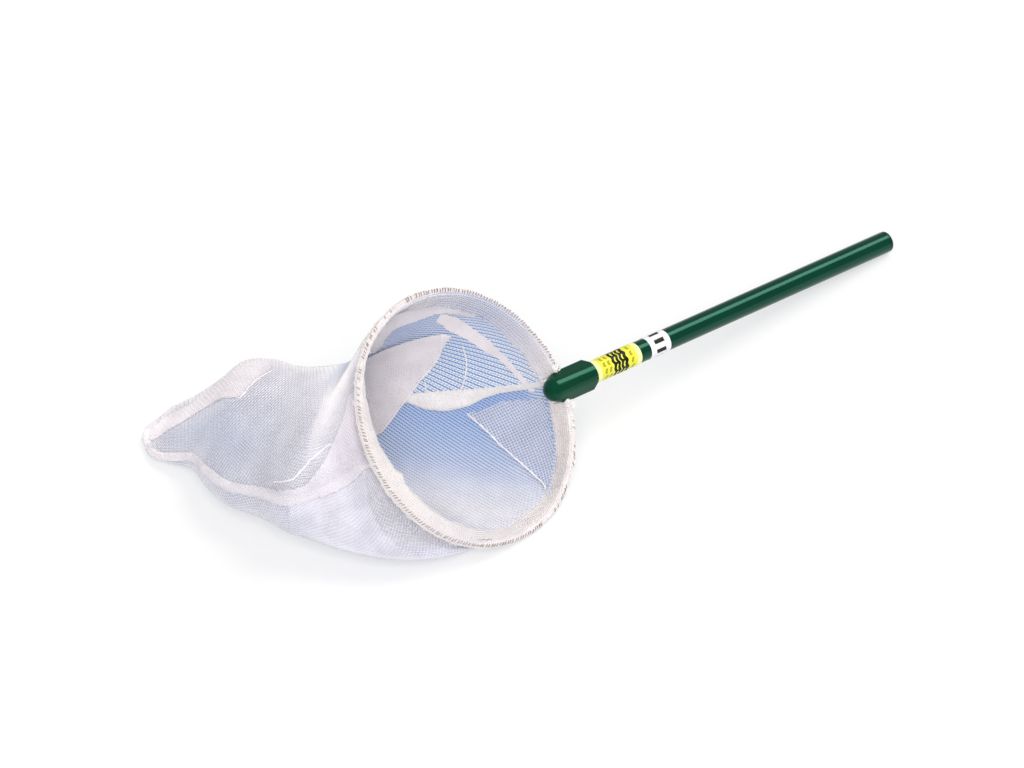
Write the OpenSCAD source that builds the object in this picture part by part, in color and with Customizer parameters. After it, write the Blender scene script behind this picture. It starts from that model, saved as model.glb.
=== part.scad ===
// Hand dip net: an oval wire hoop with a deep mesh bag and a short sleeved handle.
// The net is drawn as it lies on the ground, Z = 0. The handle runs along +X and slopes
// down to its rear end, the hoop is rolled up on its +Y side, and the bag lies behind it.

/* [Handle] */
// Length of the core tube
handle_l = 330; // [200:1:600]
// Outer diameter of the core tube
tube_d = 15; // [12:0.5:22]
// Wall of the core tube
tube_wall = 1.2; // [0.8:0.1:2]
// Wall of the vinyl sleeve over the tube
sleeve_wall = 0.8; // [0.6:0.1:2]
// Length of the rear plug inside the tube
plug_l = 18; // [8:1:40]
// Thickness of the rear plug's head
plug_head = 3; // [2:0.5:6]

/* [Hoop] */
// Diameter of the hoop wire
wire_d = 2.5; // [2:0.1:3.5]
// Radius of the hoop's front and back bends
front_r = 102; // [90:1:140]
// Radius of the hoop's side bends
side_r = 84; // [60:1:89]
// Half of the angle that the front bend covers
front_half_angle = 35; // [25:1:50]
// Sideways shift of the hoop's centre from the handle's line, towards the raised side
hoop_shift = 7.5; // [-8:0.5:8]
// Radius of the bends from the hoop into the tails
throat_r = 5; // [4:0.5:8]
// Straight length of each tail beside the handle
tail_l = 17; // [10:1:30]
// Radius of the hooks at the ends of the tails
hook_r = 2.5; // [2:0.1:4]
// Depth of each hook's end inside the bore of the tube
hook_reach = 1.5; // [0.5:0.5:3]

/* [Boot] */
// Wall of the boot over the joint
boot_wall = 1; // [0.6:0.1:2]
// Distance from the hoop's back bend to the start of the boot's dome
boot_lead = 6; // [3:0.5:12]
// Length of the boot behind the ends of the hooks
boot_tail = 2.5; // [2:0.5:12]

/* [Labels] */
// Length of the band label
band_l = 43; // [20:1:80]
// Length of the size label
size_l = 19; // [10:1:40]
// Space between the two labels
label_gap = 9.5; // [4:0.5:30]
// Depth of the recesses that hold the labels
label_t = 0.3; // [0.2:0.05:0.5]
// How far the labels stand proud of the sleeve
label_proud = 0.2; // [0:0.05:0.4]

/* [Bag] */
// Outer diameter of the hem round the wire
hem_d = 6.4; // [5:0.1:9]
// Drop of the hem's skirt from the wire
hem_drop = 13; // [8:1:25]
// Turn of the skirt into the mouth at the lip, in the middle of the low side
lip_turn = 78; // [0:1:85]
// Turn of the skirt into the mouth on the raised side, near the handle
brow_turn = 38; // [0:1:60]
// Thickness of the bag's netting
net_t = 1.2; // [0.8:0.1:2]
// Width of the netting's bars between its openings
net_bar = 3; // [2:0.5:6]
// Width of the seams
seam_w = 5; // [3:0.5:8]
// Thickness of the seams
seam_t = 2; // [1.5:0.1:3]
// Turns of thread in each hem tie
tie_turns = 2; // [1:1:6]
// Diameter of the tie thread
tie_d = 0.8; // [0.6:0.1:1.6]

/* [Lie] */
// Height of the hoop's centre above the ground
hoop_z = 62; // [50:1:80]
// Bearing of the bag from the handle's direction
bag_bearing = 128; // [115:1:150]
// Twist of the bag from the hoop to its body
bag_twist = -20; // [-30:1:0]
// Outward bulge of the bag beside the low side of the hoop
belly = 205; // [0:1:220]

/* [Hidden] */
$fn = 64;

fit = 0.1;          // clearance between rigid pieces
soft_fit = 0.3;     // clearance of soft pieces from their neighbours

// Handle
tube_r = tube_d / 2;
bore_r = tube_r - tube_wall;
sleeve_bore_r = tube_r + fit / 2;
sleeve_r = sleeve_bore_r + sleeve_wall;

// Hoop, in its own plane: centre at the origin, handle along +X
wire_r = wire_d / 2;
bend_step = front_r - side_r;
front_x = bend_step * cos(front_half_angle);    // centre of the front bend
side_y = bend_step * sin(front_half_angle);     // centre of the side bend
hoop_x = front_r - front_x;                     // half of the hoop's length, to the wire's middle
tail_y = sleeve_r + fit + wire_r;
throat_y = tail_y + throat_r;
function throat_angle(side) = asin((side * throat_y - hoop_shift) / (front_r + throat_r));
function throat_x(side) = (front_r + throat_r) * cos(throat_angle(side)) - front_x;
hook_x = throat_x(1) + tail_l;
hook_leg_x = hook_x + hook_r;
hook_leg_y = tail_y - hook_r;
hook_tip_y = bore_r - hook_reach;
hook_hole_r = wire_r + 3 * fit;

// Boot
boot_bore_r = sleeve_r + fit;
bulge_bore_r = wire_r + fit;
hook_room = wire_r + fit / 2;                   // half height of the boot's room for the hooks
dome_x = hoop_x - boot_lead;
bulge_x = throat_x(-1) - throat_r;
boot_end_x = hook_leg_x + wire_r + boot_tail;
boot_y = tail_y + bulge_bore_r + boot_wall;

// Places along the handle
tube_end_x = dome_x + handle_l;
band_x = boot_end_x + soft_fit;
size_x = band_x + band_l + label_gap;

// Hem and mouth of the bag
hem_r = hem_d / 2;
hem_bore_r = wire_r + soft_fit;
tie_pitch = tie_d + fit;
tie_y = max(boot_y + soft_fit + tie_d / 2, -oval(throat_angle(-1)).y);  // first turn, past boot and throats
hem_end_y = tie_y + tie_pitch * (tie_turns - 1) + tie_d / 2 + soft_fit;
function hem_end(side) = asin((hem_end_y - side * hoop_shift) / front_r);

// Lie of the net: the rear end of the handle and the hoop's low side touch the ground
slope = asin((hoop_z - sleeve_r) / tube_end_x);
low_reach = side_y - hoop_shift;                // centre of the low side bend from the handle's line
low_h = hoop_z - hem_r;
low_arm = pow(side_r, 2) - pow(low_reach, 2);
rise = (sqrt(pow(low_reach * low_h, 2) + low_arm * (pow(low_h, 2) - pow(side_r * sin(slope), 2)))
    - low_reach * low_h) / low_arm;
roll = asin(rise / cos(slope));
lie = [
    [cos(slope), sin(slope) * sin(roll), sin(slope) * cos(roll)],
    [0, cos(roll), -sin(roll)],
    [-sin(slope), cos(slope) * sin(roll), cos(slope) * cos(roll)],
];
up_from_hoop = lie * [0, 0, 1];
function laid(p) = lie * p + [0, 0, hoop_z];

// Lie of the bag: rows of [along, sideways middle, half width, height]
bag_rows = [
    [110, -25, 76, 88],
    [140, -14, 71, 69],
    [165, -4, 72, 58],
    [185, 4, 63, 50],
    [202, 8, 45, 33],
    [220, 5, 35, 18],
    [233, 3, 28, 11],
    [242, 0, 15, 8],
    [248, -1, 6, 7],
];
bag_along = [cos(bag_bearing), sin(bag_bearing), 0];
bag_across = [sin(bag_bearing), -cos(bag_bearing), 0];
flat_share = 0.08;  // share of a row's height that is pressed flat on the ground
neck_steps = 8;     // steps from the mouth to the first row
panel_steps = 12;   // openings across each panel
open_rings = 13;    // rows of openings, from the mouth
mouth_pull = 38;    // how far the netting goes straight down from the hem
row_pull = 36;      // how far it keeps the direction of the bag
lip_middle = 205;   // angle round the mouth of the middle of the lip
brow_middle = 30;   // angle round the mouth where the skirt turns in most on the raised side
belly_end = 278;    // angle round the mouth where the bulge that starts at 180 ends

function unit(v) = v / norm(v);

// The hoop's four bends as points of the oval and their outward normals, from angle 0 at the handle
function in_front(a) = abs(cos(a)) > cos(front_half_angle);
function oval_centre(a) =
    in_front(a) ? [-front_x * sign(cos(a)), hoop_shift, 0] : [0, side_y * sign(sin(a)) + hoop_shift, 0];
function oval_normal(a) = [cos(a), sin(a), 0];
function oval(a) = oval_centre(a) + oval_normal(a) * (in_front(a) ? front_r : side_r);

// Direction of the hem's skirt: down, turned in at the lip, near the handle and near the ground
function ground_turn(e, z) =
    let (least = min(up_from_hoop.z, (z - net_t) / hem_drop))
    e.z < 0 ? atan2(e.z, up_from_hoop.z) + acos(min(1, least / norm([up_from_hoop.z, e.z]))) : 0;
function skirt_turn(a) =
    max(
        lip_turn * cos(a - lip_middle),
        brow_turn * cos(a - brow_middle),
        ground_turn(lie * oval_normal(a), laid(oval(a)).z)
    );
function skirt(a) =
    -up_from_hoop * cos(skirt_turn(a)) - lie * oval_normal(a) * sin(skirt_turn(a));

// Mouth of the bag, just below the skirt's edge, and the direction in which the netting leaves it
function mouth(a) =
    let (clear = soft_fit + net_t * (0.5 + 0.5 * sin(skirt_turn(a))))
    laid(oval(a)) + skirt(a) * hem_drop - up_from_hoop * clear;
function bulge(a) =
    let (e = lie * oval_normal(a), out = unit([e.x, e.y, 0]))
    a > 180 && a < belly_end ? out * belly * sin((a - 180) * 180 / (belly_end - 180)) : [0, 0, 0];
function leave(a) = -up_from_hoop * mouth_pull + bulge((a + 360) % 360);

// Point of a row's section
function row_point(r, a) =
    let (t = a + bag_twist, share = ((1 + sin(t)) / 2 - flat_share) / (1 - flat_share))
    bag_along * r[0] + bag_across * (r[1] + r[2] * cos(t)) + [0, 0, r[3] * max(share, 0)];

// Curve from p in direction m to q in direction n, kept above the ground
function curve(p, m, q, n, t) =
    let (c = p * (2 * pow(t, 3) - 3 * pow(t, 2) + 1) + m * (pow(t, 3) - 2 * pow(t, 2) + t)
        + q * (3 * pow(t, 2) - 2 * pow(t, 3)) + n * (pow(t, 3) - pow(t, 2)))
    [c.x, c.y, max(c.z, 0)];

// Outer skin of the bag: ring i, from the mouth to the toe, at angle a from the far seam
rings = neck_steps + len(bag_rows);
function skin(i, a) =
    i < neck_steps
    ? curve(mouth(a), leave(a), row_point(bag_rows[0], a), bag_along * row_pull, i / neck_steps)
    : row_point(bag_rows[i - neck_steps], a);
function outward(i, a) =
    unit(cross(skin(min(i + 1, rings - 1), a) - skin(max(i - 1, 0), a), skin(i, a + 3) - skin(i, a - 3)));

// Angle that a width takes round ring i at angle a
function spread(i, a, w) = w / norm(skin(i, a + 0.5) - skin(i, a - 0.5));

// Middle of the net's outline on the ground, which is put at the origin
skin_points = [for (i = [0:rings - 1], a = [0:5:355]) skin(i, a)];
head_r = sleeve_r - 2 * fit;
head_edge_r = plug_head / 2;
rear_x = (tube_end_x + fit + plug_head - head_edge_r) * cos(slope)
    + (head_r - head_edge_r) * sin(slope) + head_edge_r;
low_y = (hoop_shift - side_y - side_r) * cos(roll) - hem_r;
middle = [
    (min([for (p = skin_points) p.x]) + rear_x) / 2,
    (max([for (p = skin_points) p.y]) + low_y) / 2,
    0,
];

module centred() {
    translate(-middle) children();
}

module as_it_lies() {
    centred() translate([0, 0, hoop_z]) rotate([roll, slope, 0]) children();
}

module along_x(x) {
    translate([x, 0, 0]) rotate([0, 90, 0]) children();
}

module both_sides() {
    children();
    mirror([0, 1, 0]) children();
}

// Closed solid through a list of rings, each a list of the same even number of points
function quad(a, b, c, d) = [[a, b, c], [a, c, d]];
function cap(first, n, turned) = [
    for (j = [0:n / 2 - 2]) each
        let (a = first + j, b = a + 1, d = first + n - 1 - j, c = d - 1)
        turned ? quad(d, c, b, a) : quad(a, b, c, d)
];
module loft(ring_list) {
    n = len(ring_list[0]);
    last = len(ring_list) - 1;
    polyhedron(
        points = [for (r = ring_list) each r],
        faces = concat(
            cap(0, n, true),
            [
                for (i = [0:last - 1], j = [0:n - 1]) each
                    let (a = i * n + j, b = i * n + (j + 1) % n)
                    quad(a, b, b + n, a + n)
            ],
            cap(last * n, n, false)
        )
    );
}

// Points on a bend of the wire, leaving out the last one
function bend(centre, r, from, to, steps) =
    [for (k = [0:steps - 1]) let (a = from + (to - from) * k / steps) centre + r * [cos(a), sin(a), 0]];

// One end of the wire's middle line, from the tip of the hook to the end of the throat
function wire_end(side) = concat(
    [[hook_leg_x, side * hook_tip_y, 0]],
    bend([hook_x, side * hook_leg_y, 0], hook_r, 0, side * 90, 5),
    [[hook_x, side * tail_y, 0]],
    bend([throat_x(side), side * throat_y, 0], throat_r, side * 270, side * 180 + throat_angle(side), 6)
);
ring_steps = 84;
wire_line = concat(
    wire_end(1),
    [
        for (k = [0:ring_steps])
            oval(throat_angle(1) + (360 + throat_angle(-1) - throat_angle(1)) * k / ring_steps)
    ],
    [for (k = [len(wire_end(-1)) - 1:-1:0]) wire_end(-1)[k]]
);

// Rings of points round a flat line, as a rod of radius r
function rod_rings(line, r, sides) = [
    for (i = [0:len(line) - 1])
        let (
            along = unit(line[min(i + 1, len(line) - 1)] - line[max(i - 1, 0)]),
            side = [along.y, -along.x, 0]
        )
        [
            for (j = [0:sides - 1])
                let (t = 360 * j / sides)
                line[i] + r * (side * cos(t) + [0, 0, 1] * sin(t))
        ]
];

module handle_bar(r) {
    along_x(dome_x) cylinder(r = r, h = handle_l);
}

module hook_holes() {
    both_sides()
        translate([hook_leg_x, 0, 0]) rotate([-90, 0, 0]) cylinder(r = hook_hole_r, h = tail_y, $fn = 32);
}

module handle_tube() {
    color("silver") as_it_lies() difference() {
        handle_bar(tube_r);
        along_x(dome_x - 1) cylinder(r = bore_r, h = handle_l + 2);
        hook_holes();
    }
}

module label_recess(x, l) {
    along_x(x) difference() {
        cylinder(r = sleeve_r + 1, h = l);
        translate([0, 0, -1]) cylinder(r = sleeve_r - label_t, h = l + 2);
    }
}

module handle_sleeve() {
    color("darkgreen") as_it_lies() difference() {
        handle_bar(sleeve_r);
        along_x(dome_x - 1) cylinder(r = sleeve_bore_r, h = handle_l + 2);
        label_recess(band_x, band_l);
        label_recess(size_x, size_l);
        hook_holes();
    }
}

// Plug with a rounded head that closes the rear end of the tube
module rear_plug() {
    color([0, 0.1, 0.08]) as_it_lies() along_x(tube_end_x) rotate_extrude() {
        translate([0, -plug_l]) square([bore_r - fit / 2, plug_l + fit]);
        translate([0, fit]) square([head_r, plug_head - head_edge_r]);
        square([head_r - head_edge_r, plug_head + fit]);
        translate([head_r - head_edge_r, plug_head + fit - head_edge_r]) circle(r = head_edge_r, $fn = 32);
    }
}

module hoop_wire() {
    color("silver") as_it_lies() loft(rod_rings(wire_line, wire_r, 10));
}

// Rounded form of the boot: dome over the tube's end, with a bulge over each tail and a tapered rear
module boot_form() {
    dome_r = boot_bore_r + boot_wall;
    bulge_r = bulge_bore_r + boot_wall;
    hull() {
        translate([dome_x, 0, 0]) sphere(r = dome_r, $fn = 40);
        along_x(boot_end_x - 1) cylinder(r = dome_r, h = 1, $fn = 40);
        both_sides() for (x = [bulge_x, hook_leg_x]) translate([x, tail_y, 0]) sphere(r = bulge_r, $fn = 24);
    }
}

module hoop_boot() {
    color("darkgreen") as_it_lies() difference() {
        boot_form();
        translate([dome_x, 0, 0]) sphere(r = boot_bore_r);
        along_x(dome_x) cylinder(r = boot_bore_r, h = handle_l);
        both_sides() {
            translate([throat_x(-1), tail_y, 0]) rotate([0, 90, 0])
                cylinder(r = bulge_bore_r, h = hook_leg_x + bulge_bore_r - throat_x(-1), $fn = 32);
            translate([hook_x - fit, 0, -hook_room])
                cube([hook_r + wire_r + 1.5 * fit, tail_y, 2 * hook_room]);
            translate([bulge_x - bulge_bore_r, 0, -bulge_bore_r])
                cube([throat_x(1) - bulge_x + bulge_bore_r, boot_y + 1, 2 * bulge_bore_r]);
        }
    }
}

// Printed sleeve that lies in its recess and stands a little proud
module label(x, l) {
    along_x(x + fit) difference() {
        cylinder(r = sleeve_r + label_proud, h = l - 2 * fit);
        translate([0, 0, -1]) cylinder(r = sleeve_r - label_t + fit / 2, h = l + 2);
    }
}

module band_label() {
    color("gold") as_it_lies() label(band_x, band_l);
}

module size_label() {
    color("white") as_it_lies() label(size_x, size_l);
}

// Section of the hem: a casing round the wire with the skirt hanging from it
hem_sides = 14;
hem_steps = 56;
hem_neck = asin(net_t / hem_r);
function hem_turn(k) = hem_neck + (360 - 2 * hem_neck) * k / (hem_sides - 3);
function hem_out(a) = let (down = skirt(a)) unit(cross(cross(down, lie * oval_normal(a)), down));
function hem_point(a, r, t) = laid(oval(a)) + r * (skirt(a) * cos(t) + hem_out(a) * sin(t));
function hem_outline(a) = [
    for (k = [0:hem_sides - 3]) hem_point(a, hem_r, hem_turn(k)),
    laid(oval(a)) + skirt(a) * hem_drop - hem_out(a) * net_t,
    laid(oval(a)) + skirt(a) * hem_drop + hem_out(a) * net_t,
];
function hem_bore(a) = [
    for (k = [0:hem_sides - 3]) hem_point(a, hem_bore_r, hem_turn(k)),
    hem_point(a, hem_bore_r, -hem_neck / 2),
    hem_point(a, hem_bore_r, hem_neck / 2),
];

module rim_hem() {
    from = hem_end(1);
    to = 360 - hem_end(-1);
    angles = [for (i = [0:hem_steps]) from + (to - from) * i / hem_steps];
    n = hem_sides;
    bore = (hem_steps + 1) * n;     // index of the first point of the bore
    color([0.95, 0.92, 0.91]) centred() polyhedron(
        points = concat([for (a = angles) each hem_outline(a)], [for (a = angles) each hem_bore(a)]),
        faces = [
            for (i = [0:hem_steps - 1], j = [0:n - 1]) each
                let (p = i * n + j, q = i * n + (j + 1) % n)
                concat(quad(p, p + n, q + n, q), quad(p + bore, q + bore, q + n + bore, p + n + bore)),
            for (i = [0, hem_steps], j = [0:n - 1]) each
                let (p = i * n + j, q = i * n + (j + 1) % n)
                i == 0 ? quad(p, q, q + bore, p + bore) : quad(p, p + bore, q + bore, q),
        ]
    );
}

// Turns of thread round the wire that hold each end of the hem away from the boot
module hem_ties() {
    color("white") as_it_lies() for (side = [1, -1], k = [0:tie_turns - 1]) {
        a = side * asin((tie_y + tie_pitch * k - side * hoop_shift) / front_r);
        translate(oval(a)) rotate([90, 0, a])
            rotate_extrude($fn = 32) translate([wire_r + fit + tie_d / 2, 0]) circle(d = tie_d, $fn = 16);
    }
}

// Corner e of a cell of netting, moved inwards by half a bar on both sides
function bar_share(a, b) = min(0.35, net_bar / 2 / norm(b - a));
function inset(c, e) =
    let (p = c[e], q = c[(e + 1) % 4], r = c[(e + 3) % 4], s = bar_share(p, q), t = bar_share(p, r))
    p * (1 - s) * (1 - t) + q * s * (1 - t) + r * (1 - s) * t + c[(e + 2) % 4] * s * t;

// Sheet of netting between two seams, with a grid of openings
module panel(from, to) {
    margin = seam_w / 2 + soft_fit;
    n = panel_steps + 1;
    last = rings - 2;
    angles = [
        for (i = [0:last])
            let (
                start = from + spread(i, from, margin),
                step = (to - spread(i, to, margin) - start) / panel_steps
            )
            [for (j = [0:panel_steps]) start + step * j]
    ];
    outer = [for (i = [0:last]) each [for (a = angles[i]) skin(i, a)]];
    inner = [for (i = [0:last]) each [for (a = angles[i]) skin(i, a) - net_t * outward(i, a)]];
    corners = [
        for (i = [0:last - 1], j = [0:panel_steps - 1])
            let (a = i * n + j)
            [a, a + 1, a + n + 1, a + n]
    ];
    open_cells = [for (k = [0:open_rings * panel_steps - 1]) corners[k]];
    holes = [
        for (c = open_cells, sheet = [outer, inner], e = [0:3]) inset([for (p = c) sheet[p]], e)
    ];
    below = len(outer);             // index of the first inner point
    first_hole = 2 * below;
    color([0.93, 0.9, 0.9]) centred() polyhedron(
        points = concat(outer, inner, holes),
        faces = [
            for (k = [0:len(open_cells) - 1], e = [0:3]) each
                let (
                    f = (e + 1) % 4,
                    c = open_cells[k][e],
                    d = open_cells[k][f],
                    h = first_hole + 8 * k
                )
                concat(
                    quad(c, d, h + f, h + e),
                    quad(d + below, c + below, h + 4 + e, h + 4 + f),
                    quad(h + e, h + f, h + 4 + f, h + 4 + e)
                ),
            for (k = [len(open_cells):len(corners) - 1]) each
                let (c = corners[k], d = [for (p = c) p + below])
                concat(quad(c[0], c[1], c[2], c[3]), quad(d[1], d[0], d[3], d[2])),
            for (i = [0:last - 1]) each
                let (a = i * n, b = a + n - 1)
                concat(quad(b, b + below, b + n + below, b + n), quad(a + below, a, a + n, a + n + below)),
            for (j = [0:panel_steps - 1]) each
                let (b = last * n + j)
                concat(quad(j + below, j + 1 + below, j + 1, j), quad(b, b + 1, b + 1 + below, b + below)),
        ]
    );
}

module bag_upper_panel() {
    panel(0, 180);
}

module bag_lower_panel() {
    panel(180, 360);
}

// Seam where the two panels meet, as a bar between their edges
module side_seam(at) {
    color([0.97, 0.94, 0.92]) centred() loft([
        for (i = [0:rings - 2])
            let (w = spread(i, at, seam_w / 2), angles = [at - w, at, at + w])
            concat(
                [for (a = angles) skin(i, a)],
                [for (j = [2:-1:0]) skin(i, angles[j]) - seam_t * outward(i, angles[j])]
            )
    ]);
}

module side_seam_near() {
    side_seam(180);
}

module side_seam_far() {
    side_seam(0);
}

// Seam that closes the toe of the bag
module toe_seam() {
    from = bag_rows[len(bag_rows) - 2] + [soft_fit, 0, 0, 0];
    to = bag_rows[len(bag_rows) - 1];
    color([0.97, 0.94, 0.92]) centred() loft([for (r = [from, to]) [for (a = [0:15:345]) row_point(r, a)]]);
}

handle_tube();
handle_sleeve();
rear_plug();
hoop_wire();
hoop_boot();
band_label();
size_label();
rim_hem();
hem_ties();
bag_upper_panel();
bag_lower_panel();
side_seam_near();
side_seam_far();
toe_seam();
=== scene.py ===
"""Looks of the hand dip net: netting of real threads, sewn hem and seams, glossy handle.

Lengths are in millimetres and angles in degrees. A place on the bag is a ring v, counted from 0 at the
mouth to LAST at the toe, and an angle a round the mouth: 0 at the handle, 90 on the raised side, 180
opposite the handle and 270 beside the ground.
"""
import bpy
import math
import numpy as np
from mathutils import Matrix, Vector


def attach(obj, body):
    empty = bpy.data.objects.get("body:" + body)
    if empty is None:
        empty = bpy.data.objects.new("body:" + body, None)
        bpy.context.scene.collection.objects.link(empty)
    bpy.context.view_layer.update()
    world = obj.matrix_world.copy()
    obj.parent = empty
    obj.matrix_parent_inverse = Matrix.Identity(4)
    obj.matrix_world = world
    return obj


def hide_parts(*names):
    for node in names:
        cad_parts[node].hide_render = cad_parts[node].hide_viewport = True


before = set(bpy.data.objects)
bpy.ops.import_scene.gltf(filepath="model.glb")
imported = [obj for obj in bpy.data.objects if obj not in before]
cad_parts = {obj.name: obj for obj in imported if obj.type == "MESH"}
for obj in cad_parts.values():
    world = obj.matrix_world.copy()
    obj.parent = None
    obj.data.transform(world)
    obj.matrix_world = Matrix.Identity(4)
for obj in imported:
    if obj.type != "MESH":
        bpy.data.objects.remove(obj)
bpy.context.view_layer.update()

MM = 0.001
rng = np.random.default_rng(7)

# Sizes of the CAD source
HANDLE_L, SLEEVE_R, BOOT_LEAD, PLUG_HEAD, FIT, SOFT_FIT = 330.0, 8.35, 6.0, 3.0, 0.1, 0.3
FRONT_R, SIDE_R, HALF_ANGLE, THROAT_R = 102.0, 84.0, 35.0, 5.0
HOOP_SHIFT, HOOP_Z = 7.5, 62.0
WIRE_R, HEM_R, HEM_DROP, NET_T = 1.25, 3.2, 13.0, 1.2
LIP_TURN, LIP_MIDDLE, BROW_TURN, BROW_MIDDLE = 78.0, 205.0, 38.0, 30.0
BEARING, TWIST, BELLY, BELLY_END = 128.0, -20.0, 205.0, 278.0
MOUTH_PULL, ROW_PULL, FLAT_SHARE = 38.0, 36.0, 0.08
NECK_STEPS = 8
BAG_ROWS = np.array([   # along the bag, sideways middle, half width, height
    [110, -25, 76, 88], [140, -14, 71, 69], [165, -4, 72, 58], [185, 4, 63, 50], [202, 8, 45, 33],
    [220, 5, 35, 18], [233, 3, 28, 11], [242, 0, 15, 8], [248, -1, 6, 7],
], float)

# Netting and sewing
PITCH = 2.3                 # of the bag's threads
THREAD_R = (0.36, 0.33)     # of their two families
FILL_WIDTH = 1.05           # of the flat threads between them, which carry painted shade and backdrop blue
FOLD_PITCH, FOLD_THREAD_R, FOLD_FILL_WIDTH = 2.1, 0.33, 0.95
WEAVE_LIFT, CLOSE_LIFT = 0.16, 0.1      # of threads over and under each other, in the bag and elsewhere
SELVEDGE = 0.6              # share of the pitch that threads reach past the mouth
NET_LOW, SEWN_LOW, CLOTH_LOW, TOE_LOW = 0.55, 0.35, 0.2, 0.1        # least heights over the ground
SEAM_PITCH, SEAM_THREAD_R = 1.4, 0.27
STRIP_STEP, STRIP_T = 1.2, 0.9          # step along a seam or crease, and its thickness
RIPPLE, RIPPLE_LENGTH = 0.18, 4.3       # of the strip's surface
WOVEN_WIDTH = 2.5           # from which a strip shows its own threads
ROLL_R = 2.8                # of the hem's roll round the wire
HEM_START_Y = 9.8           # where the hem begins beside the handle
HEM_PITCH, HEM_THREAD_R = 1.85, 0.3
TAB_ANGLE = 193.0           # of the corner of cloth that stands out from the lip
STITCH_PITCH, STITCH_R, RUNNING_STITCH_R = 2.3, 0.29, 0.25
SPARSE_STITCHES = [(285, 360, 0.3), (90, 160, 0.5)]         # angles from and to, share that is kept
TIE_PITCH, TIE_R, TIE_THREAD_R, LOOP_THREAD_R = 0.9, 3.3, 0.42, 0.36


def cosd(a):
    return np.cos(np.radians(a))


def sind(a):
    return np.sin(np.radians(a))


def signed(a):
    """Angle as -180 to 180, 0 at the handle."""
    return (a + 180) % 360 - 180


def unit(v):
    return v / np.maximum(np.linalg.norm(v, axis=-1, keepdims=True), 1e-9)


def ramp(x, start, end):
    """0 before the start, 1 past the end and smooth between them."""
    t = np.clip((x - start) / (end - start), 0, 1)
    return t * t * (3 - 2 * t)


def bell(x, middle, spread):
    return np.exp(-((x - middle) / spread) ** 2)


def six_digits(x):
    """A number as OpenSCAD prints it, with six digits."""
    return float(f"{x:.6g}")


def lengths_along(points):
    """Running length of a line of points."""
    return np.concatenate([[0], np.cumsum(np.linalg.norm(np.diff(points, axis=0), axis=-1))])


def above(points, height):
    """The points, with none lower than a height over the ground."""
    points[..., 2] = np.maximum(points[..., 2], height)
    return points


def cubic(start, leaving, end, arriving, t):
    """Curve from start to end with a tangent at each."""
    return (start * (2 * t**3 - 3 * t**2 + 1) + leaving * (t**3 - 2 * t**2 + t)
            + end * (3 * t**2 - 2 * t**3) + arriving * (t**3 - t**2))


# ---------------------------------------------------------------- the hoop and the bag's skin

BEND_STEP = FRONT_R - SIDE_R
FRONT_X, SIDE_Y = BEND_STEP * cosd(HALF_ANGLE), BEND_STEP * sind(HALF_ANGLE)
TUBE_END_X = FRONT_R - FRONT_X - BOOT_LEAD + HANDLE_L

# The rear end of the handle and the hoop's low side touch the ground, as in the source
SLOPE = six_digits(np.degrees(np.arcsin((HOOP_Z - SLEEVE_R) / TUBE_END_X)))
LOW_REACH, LOW_H = SIDE_Y - HOOP_SHIFT, HOOP_Z - HEM_R
LOW_ARM = SIDE_R**2 - LOW_REACH**2
RISE = (np.sqrt((LOW_REACH * LOW_H)**2 + LOW_ARM * (LOW_H**2 - (SIDE_R * sind(SLOPE))**2))
        - LOW_REACH * LOW_H) / LOW_ARM
ROLL = six_digits(np.degrees(np.arcsin(RISE / cosd(SLOPE))))
LIE = np.array([
    [cosd(SLOPE), sind(SLOPE) * sind(ROLL), sind(SLOPE) * cosd(ROLL)],
    [0, cosd(ROLL), -sind(ROLL)],
    [-sind(SLOPE), cosd(SLOPE) * sind(ROLL), cosd(SLOPE) * cosd(ROLL)],
])
UP = LIE @ np.array([0, 0, 1.0])
ALONG = np.array([cosd(BEARING), sind(BEARING), 0])
ACROSS = np.array([sind(BEARING), -cosd(BEARING), 0])


def over_ground(p):
    """Points given in the hoop's own plane, as they lie over the ground under its origin."""
    return np.asarray(p, float) @ LIE.T + np.array([0, 0, HOOP_Z])


def oval_normal(a):
    return np.stack([cosd(a), sind(a), 0 * a], -1)


def oval(a):
    """The hoop's middle line: four bends, front and back ones of FRONT_R, side ones of SIDE_R."""
    c, s = cosd(a), sind(a)
    front = np.abs(c) > cosd(HALF_ANGLE)
    x = np.where(front, -FRONT_X * np.sign(c), 0)
    y = np.where(front, 0, SIDE_Y * np.sign(s)) + HOOP_SHIFT
    r = np.where(front, FRONT_R, SIDE_R)
    return np.stack([x, y, 0 * x], -1) + oval_normal(a) * r[..., None]


def hoop_out(a):
    """Direction out of the tilted hoop, in its own plane."""
    return oval_normal(a) @ LIE.T


def skirt_turn(a):
    """Degrees that the hem's skirt turns in: the lip, the brow near the handle, and what the ground asks."""
    rise = hoop_out(a)[..., 2]
    least = np.minimum(UP[2], (over_ground(oval(a))[..., 2] - NET_T) / HEM_DROP)
    share = np.clip(least / np.hypot(UP[2], rise), -1, 1)
    ground = np.degrees(np.arctan2(rise, UP[2]) + np.arccos(share))
    ground = np.where(rise < 0, ground, 0)
    return np.maximum.reduce([LIP_TURN * cosd(a - LIP_MIDDLE), BROW_TURN * cosd(a - BROW_MIDDLE), ground])


def skirt(a):
    """Direction of the hem's skirt."""
    turn = skirt_turn(a)[..., None]
    return -UP * cosd(turn) - hoop_out(a) * sind(turn)


def mouth(a):
    drop = SOFT_FIT + NET_T * (0.5 + 0.5 * sind(skirt_turn(a)))
    return over_ground(oval(a)) + skirt(a) * HEM_DROP - UP * drop[..., None]


def leave(a):
    """Direction and pull with which the netting leaves the mouth, bulging out beside the low side."""
    out = unit(hoop_out(a) * np.array([1, 1, 0]))
    share = np.where((a > 180) & (a < BELLY_END), sind((a - 180) * 180 / (BELLY_END - 180)), 0)
    return -UP * MOUTH_PULL + out * (BELLY * share)[..., None]


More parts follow.
